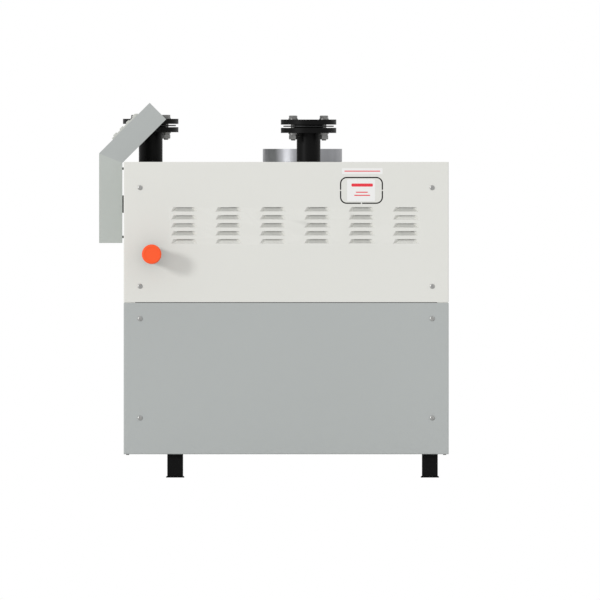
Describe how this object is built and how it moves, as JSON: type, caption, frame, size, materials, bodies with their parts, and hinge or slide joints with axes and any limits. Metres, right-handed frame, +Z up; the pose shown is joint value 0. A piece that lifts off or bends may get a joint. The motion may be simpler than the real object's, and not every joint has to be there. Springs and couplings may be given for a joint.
{
  "type": "floor-standing gas boiler",
  "caption": "Floor-standing gas boiler in a louvred steel casing on legs, with a tilted control console, flanged water pipes, a round flue collar and a capped gas inlet.",
  "frame": {"origin": "on the floor, under the middle of the overall length and width", "axes": "+Z up; the console faces -Y; the gas inlet points to +X"},
  "size_m": [0.6826, 0.882, 0.9458],
  "materials": {
    "white_paint": "semi-gloss powder coat",
    "grey_paint": "semi-gloss powder coat",
    "console_paint": "fine powder coat",
    "black_paint": "satin black enamel",
    "zinc_steel": "zinc plated",
    "galvanised": "galvanised sheet",
    "boiler_steel": "heat-proof paint",
    "stainless": "brushed",
    "gasket": "matt",
    "rubber": "matt",
    "wool": "mineral wool",
    "aluminium": "die cast",
    "black_plastic": "fine texture",
    "orange_plastic": "moulded",
    "light_plastic": "fine texture",
    "display": "clear over a dark display"
  },
  "bodies": {
    "boiler": {"upper_side_near": "white_paint", "upper_side_far": "white_paint", "front_upper": "white_paint", "back_upper": "white_paint", "top_panel": "white_paint", "corner_posts": "white_paint", "lower_side_near": "grey_paint", "lower_side_far": "grey_paint", "front_lower": "grey_paint", "back_lower": "grey_paint", "console_base": "console_paint", "console_head": "console_paint", "console_back": "console_paint", "legs": "black_paint", "foot_plates": "black_paint", "long_rails": "black_paint", "cross_rails": "black_paint", "flow_pipe": "black_paint", "return_pipe": "black_paint", "pipe_flanges": "black_paint", "flow_counter_flange": "black_paint", "return_counter_flange": "black_paint", "panel_screws": "zinc_steel", "edge_screws": "zinc_steel", "screw_tabs": "zinc_steel", "flange_bolts": "zinc_steel", "flange_nuts": "zinc_steel", "flange_washers": "zinc_steel", "spring_washers": "zinc_steel", "console_screws": "zinc_steel", "console_spacers": "zinc_steel", "top_rails": "zinc_steel", "flue_collar": "galvanised", "smoke_hood": "galvanised", "bottom_tray": "galvanised", "burner_tray": "galvanised", "flue_baffles": "boiler_steel", "water_jacket": "boiler_steel", "furnace_box": "boiler_steel", "flue_ducts": "boiler_steel", "gas_pipe": "boiler_steel", "gas_manifold": "boiler_steel", "burner_tubes": "stainless", "gaskets": "gasket", "cable_grommet": "rubber", "gas_grommet": "rubber", "insulation_wrap": "wool", "gas_valve": "aluminium", "pilot_burner": "zinc_steel", "terminal_rail": "zinc_steel", "terminals": "light_plastic", "unit_body": "black_plastic", "unit_frame": "light_plastic", "display_lens": "display"},
    "cap": {"gas_cap": "orange_plastic"},
    "knob": {"valve_knob": "black_plastic"},
    "button_a": {"button_1": "light_plastic"},
    "button_b": {"button_2": "light_plastic"},
    "button_c": {"button_3": "light_plastic"},
    "button_d": {"button_4": "light_plastic"}
  },
  "joints": [
    {"name": "cap_pull", "type": "slide", "parent": "boiler", "child": "cap", "axis": [1, 0, 0], "range_m": [0, 0.03]},
    {"name": "valve_turn", "type": "hinge", "parent": "boiler", "child": "knob", "pos_m": [0.0613, -0.3407, 0.372], "axis": [0, -1, 0], "range_deg": [0, 90]},
    {"name": "button_a_press", "type": "slide", "parent": "boiler", "child": "button_a", "axis": [0, 0.7071, -0.7071], "range_m": [0, 0.0015], "stiffness_N_per_m": 400},
    {"name": "button_b_press", "type": "slide", "parent": "boiler", "child": "button_b", "axis": [0, 0.7071, -0.7071], "range_m": [0, 0.0015], "stiffness_N_per_m": 400},
    {"name": "button_c_press", "type": "slide", "parent": "boiler", "child": "button_c", "axis": [0, 0.7071, -0.7071], "range_m": [0, 0.0015], "stiffness_N_per_m": 400},
    {"name": "button_d_press", "type": "slide", "parent": "boiler", "child": "button_d", "axis": [0, 0.7071, -0.7071], "range_m": [0, 0.0015], "stiffness_N_per_m": 400}
  ]
}
